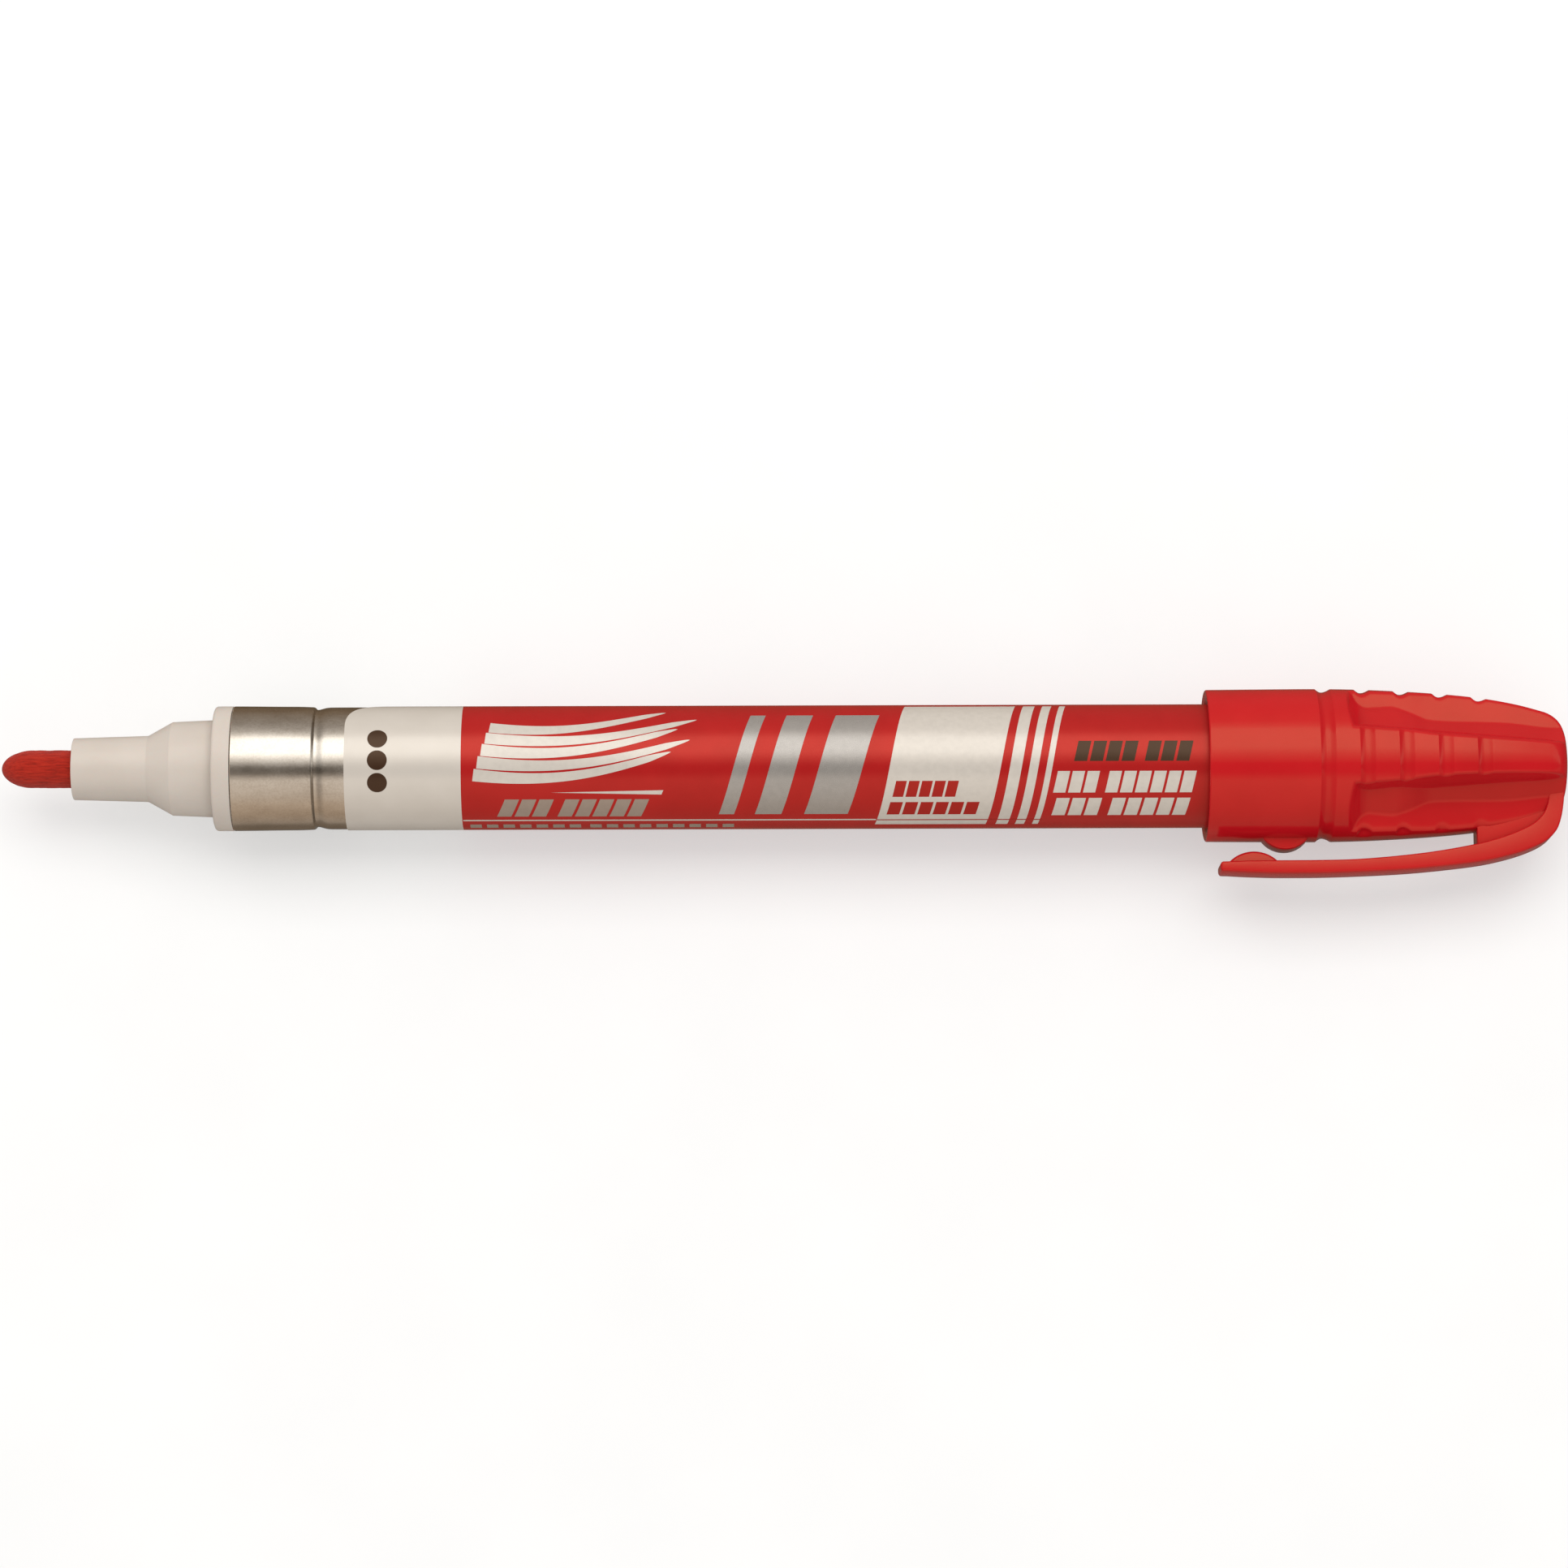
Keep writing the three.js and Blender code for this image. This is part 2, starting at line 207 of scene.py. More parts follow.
def moulded_plastic(name, light, dark, roughness, grain=0.004, scatter=0.0, gleam=(1, 1, 1)):
    """Moulded plastic: faint clouding, a fine satin grain and painted shade that darkens its corners and
    crevices. gleam tints its reflections.
    """
    corner_reach, painted_corner_shade = 1.2 * MM, 0.8
    m = Shader(name)
    m.set(Specular_Tint=(*gleam, 1))
    clouds = m.ramp(m.noise(160), (0.3, dark), (0.7, light))
    # Painted shade: ambient occlusion darkens the colour in corners and crevices
    shade = m.range(m.crevices(corner_reach), painted_corner_shade, 1.0)
    m.set(Base_Color=m.mix(1.0, clouds, m.ramp(shade, (0, (0, 0, 0)), (1, (1, 1, 1))), "MULTIPLY"))
    m.set(Roughness=m.range(m.noise(700), roughness * 0.8, roughness * 1.3))
    if scatter:
        m.set(Subsurface_Weight=scatter, Subsurface_Scale=MM)
    m.bump(m.noise(3500, detail=2), grain * MM)
    return m.material


def felt():
    """Pressed fibres that run lengthwise, soaked with paint."""
    m = Shader("felt")
    fibres = m.noise(5200, stretch=(9, 1, 1), detail=6, rough=0.7)
    relief = 0.09 * MM
    soaked, wet, dry = (0.15, 0.007, 0.004), (0.38, 0.015, 0.008), (0.50, 0.032, 0.014)
    m.set(
        Base_Color=m.ramp(fibres, (0.25, soaked), (0.5, wet), (0.8, dry)),
        Roughness=0.8,
        Sheen_Weight=0.05,
        Sheen_Roughness=0.5,
        Specular_Tint=(1.0, 0.6, 0.45, 1),
    )
    m.bump(fibres, relief)
    return m.material


def drawn_metal(name, light, dark, roughness, lines=30):
    """Drawn metal: fine lines along the axis, clouded stains and small specks."""
    m = Shader(name)
    stains = m.noise(420, stretch=(2, 1, 1), detail=8, rough=0.7)
    specks = m.noise(4200, detail=3)
    clouded = m.ramp(stains, (0.3, dark), (0.62, light))
    m.set(
        Base_Color=m.mix(0.28, clouded, m.ramp(specks, (0.35, dark), (0.6, light))),
        Metallic=1.0,
        Roughness=m.range(stains, roughness - 0.07, roughness + 0.12),
        Anisotropic=0.3,
    )
    m.bump(m.noise(5000, stretch=(lines, 1, 1), detail=3), 0.0016 * MM, 0.6)
    return m.material


FILM_SHEEN = 0.2  # the share of the metal's sheen that comes through the film
RED_PRINT_GLEAM = (0.8, 0.95, 0.62)


def printed_film():
    """The label's glossy film, white in front of the red."""
    m = Shader("label_film")
    position = m.add("ShaderNodeSeparateXYZ")
    m.feed(position.inputs[0], m.place)
    is_red = m.math("GREATER_THAN", position.outputs["X"], TIP + WHITE_END * MM)
    tone = m.noise(300)
    white = m.ramp(tone, (0.3, (0.63, 0.575, 0.51)), (0.7, (0.66, 0.605, 0.54)))
    red = m.ramp(tone, (0.3, (0.44, 0.0085, 0.011)), (0.7, (0.48, 0.0105, 0.013)))
    m.set(Base_Color=m.mix(is_red, white, red), Metallic=FILM_SHEEN)
    m.set(Specular_Tint=m.mix(is_red, (1, 1, 1), RED_PRINT_GLEAM))
    m.set(Roughness=m.range(m.noise(900), 0.19, 0.26))
    m.bump(m.noise(260, stretch=(3, 1, 1)), 0.006 * MM, 0.4)
    return m.material


def ink(name, colour, metallic=FILM_SHEEN, roughness=0.22, gleam=(1, 1, 1)):
    """Printed ink under the film's gloss, a little uneven in tone. gleam tints its reflections."""
    thinnest = 0.93
    m = Shader(name)
    m.set(Specular_Tint=(*gleam, 1))
    thin = tuple(c * thinnest for c in colour)
    m.set(
        Base_Color=m.ramp(m.noise(1500, detail=6), (0.3, thin), (0.65, colour)),
        Metallic=metallic,
        Roughness=m.range(m.noise(900), roughness - 0.04, roughness + 0.06),
    )
    m.bump(m.noise(2600), 0.0004 * MM)
    return m.material


def rubber():
    """Matt black rubber."""
    m = Shader("rubber")
    m.set(
        Base_Color=m.ramp(m.noise(900), (0.3, (0.014, 0.014, 0.014)), (0.7, (0.03, 0.03, 0.03))),
        Roughness=m.range(m.noise(1800), 0.62, 0.82),
    )
    m.bump(m.noise(4000), 0.008 * MM)
    return m.material


RED = moulded_plastic(
    "red_plastic",
    (0.53, 0.0082, 0.0140),
    (0.485, 0.0062, 0.0115),
    0.12,
    grain=0.001,
    gleam=(0.7, 0.94, 0.52),
)
WHITE = moulded_plastic("white_plastic", (0.60, 0.535, 0.475), (0.565, 0.50, 0.44), 0.34, scatter=0.1)
NATURAL = moulded_plastic("natural_plastic", (0.72, 0.70, 0.64), (0.64, 0.62, 0.56), 0.42, scatter=0.3)
FELT = felt()
ALUMINIUM = drawn_metal("aluminium", (0.88, 0.82, 0.74), (0.66, 0.59, 0.51), 0.17)
STEEL = drawn_metal("steel", (0.64, 0.64, 0.65), (0.50, 0.50, 0.51), 0.16, lines=4)
FILM = printed_film()
RUBBER = rubber()
INK_WHITE = ink("ink_offwhite", (0.66, 0.605, 0.54))
INK_BROWN = ink("ink_brown", (0.042, 0.019, 0.010), metallic=0.0, gleam=(1.0, 0.75, 0.55))
INK_GREY = ink("ink_grey", (0.36, 0.280, 0.225))
INK_SILVER = ink("ink_silver", (0.46, 0.43, 0.40), metallic=0.55, roughness=0.26)
INK_RED = ink("ink_red", (0.41, 0.0095, 0.010), gleam=RED_PRINT_GLEAM)

# ---------------------------------------------------------------------------------------------------------
# Shapes

LONGEST_FILLET = 0.45  # as a share of the side that it ends on


def add_object(name, data):
    obj = bpy.data.objects.new(name, data)
    bpy.context.scene.collection.objects.link(obj)
    return obj


def add_shaded(mesh, material, sharp):
    """An object for a smooth-shaded mesh whose edges over the sharp angle, in degrees, stay sharp."""
    mesh.shade_smooth()
    mesh.set_sharp_from_angle(angle=math.radians(sharp))
    mesh.materials.append(material)
    return add_object(mesh.name, mesh)


def add_mesh(name, points, faces, material, sharp=40):
    """A closed mesh from points in the marker's frame."""
    mesh = bpy.data.meshes.new(name)
    world = np.asarray(points, float) * MM + ORIGIN
    mesh.from_pydata(world.tolist(), [], faces)
    bm = bmesh.new()
    bm.from_mesh(mesh)
    bmesh.ops.recalc_face_normals(bm, faces=bm.faces)
    bm.to_mesh(mesh)
    bm.free()
    return add_shaded(mesh, material, sharp)


def stand_in(piece, node, body=None):
    """Puts a piece in the place of a CAD node, on the body of the same name unless another is given."""
    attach(piece, body or node)
    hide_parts(node)


def tube_faces(rings, size):
    """The faces of a closed tube through rings of the same size, with a flat face at each end."""
    faces = [
        (i * size + k, i * size + (k + 1) % size, (i + 1) * size + (k + 1) % size, (i + 1) * size + k)
        for i in range(rings - 1)
        for k in range(size)
    ]
    return faces + [tuple(range(size)), tuple((rings - 1) * size + k for k in reversed(range(size)))]


def arc(centre_s, centre_r, radius, start, end, steps=8):
    """Points of a round corner. Angles are in degrees, from +s towards +r."""
    turns = np.radians(np.linspace(start, end, steps + 1))
    return [(centre_s + radius * math.cos(t), centre_r + radius * math.sin(t)) for t in turns]


def rounded(corners, steps=5):
    """A closed outline from (s, r, fillet) corners, with each fillet turned into a curve."""
    outline = []
    count = len(corners)
    for i, (s, r, fillet) in enumerate(corners):
        here = Vector((s, r))
        before = Vector(corners[i - 1][:2]) - here
        after = Vector(corners[(i + 1) % count][:2]) - here
        if not fillet or r <= 0:
            outline.append((s, r))
            continue
        half = before.angle(after) / 2
        reach = min(fillet / math.tan(half), before.length * LONGEST_FILLET, after.length * LONGEST_FILLET)
        a, b = here + before.normalized() * reach, here + after.normalized() * reach
        for t in np.linspace(0, 1, steps + 1):
            p = a * (1 - t) ** 2 + here * (2 * t * (1 - t)) + b * t**2
            outline.append((p.x, p.y))
    return outline


def lathe(name, outline, material, segments=160, radius_at=None, sharp=40):
    """Turns a closed outline about the marker's axis. radius_at may vary a point's radius with its angle."""
    angles = np.arange(segments) * 2 * math.pi / segments
    points, rings = [], []
    for i, (s, r) in enumerate(outline):
        if r <= ON_AXIS:
            rings.append([len(points)])
            points.append((s, 0, 0))
            continue
        radii = np.full(segments, r) if radius_at is None else radius_at(i, s, r, angles)
        rings.append(list(range(len(points), len(points) + segments)))
        points += [(s, q * math.sin(a), q * math.cos(a)) for q, a in zip(radii, angles)]
    faces = []
    for ring, after in zip(rings, rings[1:] + rings[:1]):
        if len(ring) == 1 and len(after) == 1:
            continue
        for j in range(segments):
            k = (j + 1) % segments
            if len(ring) == 1:
                faces.append((ring[0], after[j], after[k]))
            elif len(after) == 1:
                faces.append((ring[j], after[0], ring[k]))
            else:
                faces.append((ring[j], after[j], after[k], ring[k]))
    return add_mesh(name, points, faces, material, sharp)


def spline(camera_mix, position):
    """A smooth curve through rows of [position, value], without overshoot."""
    xs, ys = np.array(camera_mix, float).T
    slopes = np.diff(ys) / np.diff(xs)
    tangents = np.concatenate([[slopes[0]], (slopes[1:] + slopes[:-1]) / 2, [slopes[-1]]])
    flat = np.concatenate([[False], slopes[1:] * slopes[:-1] <= 0, [False]])
    tangents[flat] = 0
    x = np.clip(position, xs[0], xs[-1])
    i = np.clip(np.searchsorted(xs, x) - 1, 0, len(xs) - 2)
    width = xs[i + 1] - xs[i]
    t = (x - xs[i]) / width
    return (
        (2 * t**3 - 3 * t**2 + 1) * ys[i]
        + (t**3 - 2 * t**2 + t) * width * tangents[i]
        + (3 * t**2 - 2 * t**3) * ys[i + 1]
        + (t**3 - t**2) * width * tangents[i + 1]
    )


def smooth_step(low, high, x):
    t = np.clip((x - low) / (high - low), 0, 1)
    return t * t * (3 - 2 * t)


def smooth_min(a, b, width):
    h = np.maximum(width - np.abs(a - b), 0) / width
    return np.minimum(a, b) - h * h * width / 4


# ---------------------------------------------------------------------------------------------------------
# Nib, nozzle and the parts inside the barrel


def make_nib():
    """The bullet nib. Its surface is roughened by fibres that run lengthwise."""
    dome, step, chamfer = 3.4, 0.12, 0.4
    relief, full_from = 0.035, 0.8  # depth of the fibres, which is full beyond this radius
    lengthwise, around = 0.9, 5  # the noise changes slowly along the nib and fast round it
    outline = [(dome * (1 - math.cos(t)), NIB_R * math.sin(t)) for t in np.linspace(0, math.pi / 2, 40)]
    outline += [(s, NIB_R) for s in np.arange(dome + step, NOZZLE_FRONT + 2, step)]
    outline += [(NIB_END - chamfer, NIB_R), (NIB_END, NIB_R - chamfer), (NIB_END, 0)]

    def fibres(_, s, r, angles):
        depth = relief * min(1, r / full_from) if s < NOZZLE_FRONT + 1 else 0.0
        spots = [Vector((s * lengthwise, around * math.sin(a), around * math.cos(a))) for a in angles]
        rough = np.array([noise.fractal(spot, 0.7, 2.1, 4) for spot in spots])
        return r - depth * np.clip(0.5 + rough, 0, 1)

    stand_in(lathe("nib_felt", outline, FELT, 192, fibres, sharp=80), "nib")


def make_nozzle():
    """The stepped nozzle: tip tube, cone, shoulder and collar, then the sleeve inside the barrel."""
    bore = NIB_R + 0.2
    collar_back = BARREL_FRONT - 0.05
    sleeve, chamber, seat_hole = 5.86, 4.4, 2.9
    seal_front, seal_back, seal_r = 28.0, 29.2, 5.1
    corners = [
        (NOZZLE_FRONT, bore, 0.12),
        (NOZZLE_FRONT, 3.28, 0.14),
        (15.6, 3.51, 0.45),
        (18.2, 4.97, 0.3),
        (COLLAR_FRONT, 5.17, 0.22),
        (COLLAR_FRONT, COLLAR_R, 0.4),
        (collar_back, COLLAR_R, 0.08),
        (collar_back, sleeve, 0),
        (seal_front, sleeve, 0),
        (seal_front, seal_r, 0.1),
        (seal_back, seal_r, 0.1),
        (seal_back, sleeve, 0),
        (GROOVE_AT - 1.1, sleeve, 0.3),
        (GROOVE_AT, sleeve - 0.3, 0.3),
        (GROOVE_AT + 1.1, sleeve, 0.3),
        (SLEEVE_END, sleeve, 0.4),
        (SLEEVE_END, chamber, 0.1),
        (23.6, chamber, 0),
        (23.6, seat_hole, 0),
        (21.2, seat_hole, 0),
        (20.4, bore, 0),
    ]
    stand_in(lathe("nozzle_moulding", rounded(corners), WHITE), "nozzle", "barrel")


def make_seal():
    """The rubber ring in the sleeve's groove."""
    front, back = span("barrel_seal")
    outer = radius_of("barrel_seal")
    half = (back - front) / 2
    ring = lathe("barrel_seal_ring", arc(front + half, outer - half, half, 0, 345, 23), RUBBER)
    stand_in(ring, "barrel_seal", "barrel")


def make_valve():
    """Seat, stem and spring."""
    front, back = span("valve_seat")
    rim, hole, cone = radius_of("valve_seat"), 1.36, 1.92
    corners = [
        (front, hole, 0.1),
        (front, rim, 0.15),
        (back, rim, 0.15),
        (back, cone, 0.05),
        (back - 0.5, hole, 0.1),
    ]
    seat = lathe("valve_seat_ring", rounded(corners), RUBBER, 96)
    stand_in(seat, "valve_seat", "barrel")

    front, back = span("valve_stem")
    flange_front, flange_back, flange, rod = 26.3, 28.4, 2.35, 0.9
    corners = [
        (front, 0, 0),
        (front, rod, 0.15),
        (flange_front - 1.4, rod, 0.1),
        (flange_front, flange, 0.15),
        (flange_back, flange, 0.15),
        (flange_back, rod, 0.1),
        (back - 0.3, rod, 0.1),
        (back, rod - 0.3, 0.1),
        (back, 0, 0),
    ]
    stand_in(lathe("valve_stem_moulding", rounded(corners), WHITE, 96), "valve_stem")

    cage_floor, gap = 1.0, 0.02
    seat_for_spring = span("valve_cage")[1] - cage_floor
    spring = make_spring(flange_back + gap, seat_for_spring - gap)
    stand_in(spring, "valve_spring", "barrel")
    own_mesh(spring)


def make_spring(start, end, wire=0.2, radius=1.75, turns=6.5):
    """A compression spring with its end coils closed."""
    steps, ring = int(turns * 40), 14
    closed = 0.1  # the share of the wire in each end coil
    lift = 2.2 * wire  # how far the two end coils rise together
    points = []
    for i in range(steps + 1):
        t = i / steps
        turn = t * turns * 2 * math.pi
        share = np.clip((t - closed) / (1 - 2 * closed), 0, 1)
        rise = lift * (min(t, closed) + max(0, t - 1 + closed)) / closed
        s = start + wire + rise / 2 + share * (end - start - 2 * wire - lift)
        for k in range(ring):
            a = 2 * math.pi * k / ring
            r = radius + wire * math.cos(a)
            points.append((s + wire * math.sin(a), r * math.cos(turn), r * math.sin(turn)))
    return add_mesh("valve_spring_coil", points, tube_faces(steps + 1, ring), STEEL)


def finish_cage():
    """The windowed cage keeps its CAD solid and gets softened edges and its material."""
    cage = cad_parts["valve_cage"]
    edge = cage.modifiers.new("edge", "BEVEL")
    edge.width = 0.08 * MM
    edge.segments = 2
    edge.limit_method = "ANGLE"
    cage.data.materials.clear()
    cage.data.materials.append(NATURAL)


def make_balls():
    """Two steel balls, each turned about the axis and then moved to its track."""
    for node in ("mixing_ball_1", "mixing_ball_2"):
        start, end = span(node)
        size = (end - start) / 2
        outline = [(size * -math.cos(t), size * math.sin(t)) for t in np.linspace(0, math.pi, 49)]
        outline[0], outline[-1] = (-size, 0), (size, 0)
        ball = lathe(f"{node}_steel", outline, STEEL, 72)
        ball.data.transform(Matrix.Translation(middle(node) - Vector(ORIGIN)))
        stand_in(ball, node)


# ---------------------------------------------------------------------------------------------------------
# Barrel and label


def make_barrel():
    """The drawn tube with its swaged mouth, rolled groove and rounded, closed back end."""
    flare, shoulder, shoulder_at = COLLAR_R - BARREL_R, 0.09, GROOVE_AT - 2.4
    depth, steep, gentle = 0.27, 0.2, 0.75  # the groove, and the widths of its front and back slope
    wall, chamfer = BARREL_R - BARREL_BORE_R, 0.08
    floor, corner, inner_corner = BARREL_END - 0.7, 1.2, 0.8

    def groove(s):
        away = s - GROOVE_AT
        return -depth * np.exp(-((away / (steep if away < 0 else gentle)) ** 2))

    def mouth(s):
        to_shoulder = smooth_step(BARREL_FRONT, shoulder_at, s)
        to_tube = smooth_step(shoulder_at, GROOVE_AT + 1, s)
        return flare + (shoulder - flare) * to_shoulder - shoulder * to_tube

    stations = np.concatenate([np.linspace(BARREL_FRONT, 31, 14), np.linspace(31.1, 36.5, 90)])
    outside = [(s, BARREL_R + mouth(s) + groove(s)) for s in stations]
    inside = [(s, r - wall) for s, r in reversed(outside)]
    rim = outside[0][1]
    outline = [(BARREL_FRONT, rim - chamfer), (BARREL_FRONT + chamfer, rim)] + outside[1:]
    outline += arc(BARREL_END - corner, BARREL_R - corner, corner, 90, 0, 10) + [(BARREL_END, 0), (floor, 0)]
    outline += arc(floor - inner_corner, BARREL_BORE_R - inner_corner, inner_corner, 0, 90, 8) + inside
    stand_in(lathe("barrel_tube", outline, ALUMINIUM, 192), "barrel")


def on_label(s, arc_length, radius):
    """A point of the print. Arc lengths run on the label from the print's middle line towards +Y."""
    angle = PRINT_FACES + arc_length / LABEL_R
    return (s, radius * math.sin(angle), radius * math.cos(angle))


def shell(columns, outer, inner):
    """The points and faces of a thin curved sheet on a grid of (s, arc length), closed underneath."""
    rows, width = len(columns), len(columns[0])
    points = [on_label(s, u, outer) for column in columns for s, u in column]
    points += [on_label(s, u, inner) for column in columns for s, u in column]
    under = rows * width
    faces = []
    for i in range(rows - 1):
        for j in range(width - 1):
            quad = (i * width + j, (i + 1) * width + j, (i + 1) * width + j + 1, i * width + j + 1)
            faces.append(quad)
            faces.append(tuple(under + q for q in reversed(quad)))
    rim = list(range(width))
    rim += [i * width + width - 1 for i in range(1, rows)]
    rim += [(rows - 1) * width + j for j in range(width - 2, -1, -1)]
    rim += [i * width for i in range(rows - 2, 0, -1)]
    faces += [(a, b, under + b, under + a) for a, b in zip(rim, rim[1:] + rim[:1])]
    return points, faces


def make_label():
    """The film from one edge of the bare strip round to the other, with rounded corners at the front."""
    corner, thickness = 4.8, 0.07
    first, last = SEAM_AT + SEAM_HALF, SEAM_AT - SEAM_HALF + 2 * math.pi
    length = (last - first) * LABEL_R
    bend = corner * (1 - np.cos(np.linspace(0, math.pi / 2, 22)))
    arcs = np.concatenate([bend, np.linspace(corner, length - corner, 180)[1:-1], length - bend[::-1]])
    columns = []
    for u in arcs:
        near = min(u, length - u)
        cut = corner - math.sqrt(max(0, corner**2 - max(0, corner - near) ** 2))
        around = (first + u / LABEL_R - PRINT_FACES) * LABEL_R
        columns.append([(s, around) for s in np.linspace(LABEL_START + cut, LABEL_END, 24)])
    points, faces = shell(columns, LABEL_R, LABEL_R - thickness)
    label = add_mesh("label_film_sheet", points, faces, FILM, sharp=50)
    stand_in(label, "label", "barrel")


PRINT_SINKS = 0.03  # how far the print's underside lies under the label's surface


class Print:
    """The printed shapes of one ink, each a thin raised sheet, gathered into one piece."""

    def __init__(self, name, material, rise=0.012):
        self.name, self.material, self.rise = name, material, rise
        self.points, self.faces = [], []

    def sheet(self, columns):
        points, faces = shell(columns, LABEL_R + self.rise, LABEL_R - PRINT_SINKS)
        offset = len(self.points)
        self.points += points
        self.faces += [tuple(offset + i for i in face) for face in faces]

    def bar(self, start, end, low, high, slant=0.0, taper=0.0):
        """An upright or slanted bar. Its top leans by slant along +s. taper thins it towards its start."""
        row_height = 0.3
        levels = max(2, int(abs(high - low) / row_height) + 2)
        columns = []
        for t in np.linspace(0, 1, levels):
            left, u = start + slant * t, low + (high - low) * t
            columns.append([(left + (end - start) * v, u - taper * (1 - v) * (t - 0.5)) for v in (0, 0.5, 1)])
        self.sheet(columns)

    def tiles(self, start, end, low, high, counts, slant=0.0, gap=0.22, space=0.8):
        """A line of plain slanted tiles in groups, where the print has a line. Gaps are shares of a tile."""
        total = sum(counts) + gap * (sum(counts) - len(counts)) + space * (len(counts) - 1)
        tile = (end - start) / total
        at = start
        for count in counts:
            for _ in range(count):
                self.bar(at, at + tile, low, high, slant)
                at += tile * (1 + gap)
            at += tile * (space - gap)

    def disc(self, s, u, radius):
        """A filled disc, laid down in rows."""
        across = radius * np.array([-1, -0.5, 0, 0.5, 1])
        turns = np.linspace(-math.pi / 2, math.pi / 2, 25)[1:-1]
        self.sheet([[(s + x * math.cos(t), u + radius * math.sin(t)) for x in across] for t in turns])

    def stroke(self, path, width, steps=90):
        """A brush stroke along a path of t from 0 to 1, cut straight at its start and run out at its end."""
        run_out, bluntness, thinnest = 9, 0.6, 0.01
        ts = np.linspace(0, 1, steps)
        line = np.array([path(t) for t in ts])
        run = np.gradient(line, axis=0)
        run /= np.linalg.norm(run, axis=1)[:, None]
        side = np.stack([-run[:, 1], run[:, 0]], axis=1)
        half = np.array([width(t) / 2 * min(1, (1 - t) * run_out) ** bluntness for t in ts])
        half = half[:, None] + thinnest
        self.sheet([[tuple(p - n * h), tuple(p), tuple(p + n * h)] for p, n, h in zip(line, side, half)])

    def make(self):
        piece = add_mesh(self.name, self.points, self.faces, self.material, sharp=50)
        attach(piece, "barrel")


def strand_width(t):
    return 1.3 - 0.7 * t


def make_print():
    """Plain generic shapes in the places of the label's printing: spots, strands, tiles, bars and a panel."""
    offwhite = Print("print_offwhite", INK_WHITE)
    brown = Print("print_brown", INK_BROWN)
    grey = Print("print_grey", INK_GREY)
    silver = Print("print_silver", INK_SILVER)
    red = Print("print_red", INK_RED, rise=0.02)

    # Three spots of colour one above another in the white zone
    spots_at, spot_r = 40.3, 1.05
    for u in (-1.55, 0.85, 3.25):
        brown.disc(spots_at, u, spot_r)

    # A broad paint swipe that splits into strands of different lengths, then a tapering rule under it
    for strand, end in enumerate((71.2, 73.2, 71.9, 73.9, 70.6)):
        foot = -0.75 + 1.34 * strand
        start = 50.4 + 0.42 * strand

        def sweep(t, start=start, end=end, foot=foot):
            return (start + (end - start) * t, foot + 2.4 * t**1.6 - 0.9 * math.sin(math.pi * t))

        offwhite.stroke(sweep, strand_width)
    offwhite.bar(58.6, 70.2, -2.95, -2.45, slant=0.2, taper=0.5)
    grey.tiles(52.8, 68.0, -5.9, -3.5, (3, 5), slant=0.9)

    # A thin line along the foot of the print, and a line of small tiles under it
    offwhite.bar(49.2, 92.8, -6.72, -6.5)
    grey.tiles(49.9, 77.8, -8.5, -7.5, (7, 9), gap=0.45)

    # Three slanted silver bars, thin to thick: the widths of line that the nib draws
    for start, width in ((76.2, 1.6), (80.0, 2.8), (85.2, 4.6)):
        silver.bar(start, start + width, -5.6, 6.4, slant=3.4)

    # The slanted panel with two lines of tiles and the stripes behind it. The thin line crosses them in red.
    foot, top = -7.7, 8.6
    offwhite.bar(92.7, 104.4, foot, top, slant=3.2)
    red.tiles(94.5, 101.1, -3.3, -1.5, (5,), slant=0.4)
    red.tiles(93.9, 103.3, -5.7, -3.95, (6,), slant=0.4)
    for start, width in ((105.45, 1.25), (107.5, 0.95), (109.3, 0.62)):
        offwhite.bar(start, start + width, foot, top, slant=3.0)
    red.bar(92.9, 110.3, -6.75, -6.58)

    # Three lines of tiles near the cap
    brown.tiles(113.6, 125.7, 0.55, 2.75, (4, 3), slant=0.5)
    offwhite.tiles(111.4, 126.0, -2.85, -0.5, (3, 6), slant=0.5)
    offwhite.tiles(111.3, 125.4, -5.9, -3.5, (3, 5), slant=0.5)

    for sheet in (offwhite, brown, grey, silver, red):
        sheet.make()


# ---------------------------------------------------------------------------------------------------------
# Cap and clip. Distances d along the cap run from its mouth.

RING_AT = 12.35
NOTCH_PITCH = 4.14
NOTCHES = 4
NOTCH_DEPTH = 0.36
NOTCH_FRONT, NOTCH_BACK = 0.7, 0.95  # the lengths of a notch's two slopes
NOTCHES_END = math.radians(11), math.radians(19)  # they fade out here, so the clip's lobe has none
SCOOP_START = 14.4
FLANK_TURN = math.radians(31)  # how far a scoop's flanks are turned from its floor
CAP_SHAPE = [
    (0, 8.08), (6, 8.12), (11, 8.14), (16, 8.07), (20, 7.9), (24, 7.65), (28, 7.28), (31, 6.85), (33.5, 6.34),
    (35.3, 5.86),
]
CAP_CORNER = [
    (35.3, 5.86), (36.3, 5.54), (37.1, 5.06), (37.65, 4.45), (38.0, 3.7), (38.2, 2.7), (38.34, 1.5),
]
# Distances of a scoop's flat floor and of its flanks' planes from the axis
SCOOP_FLOOR = [
    (SCOOP_START, 8.7), (15.1, 7.6), (15.75, 6.85), (16.5, 6.44), (18, 6.34), (19.7, 6.28), (21.5, 5.84),
    (23.3, 5.25), (25, 5.04), (29, 4.78), (32, 4.56), (36, 4.06), (38.4, 3.8),
]
SCOOP_FLANK = [
    (SCOOP_START, 4.8), (18, 4.6), (21.5, 4.28), (23.3, 4.02), (29, 3.54), (32, 3.3), (36, 2.93), (38.4, 2.6),
]


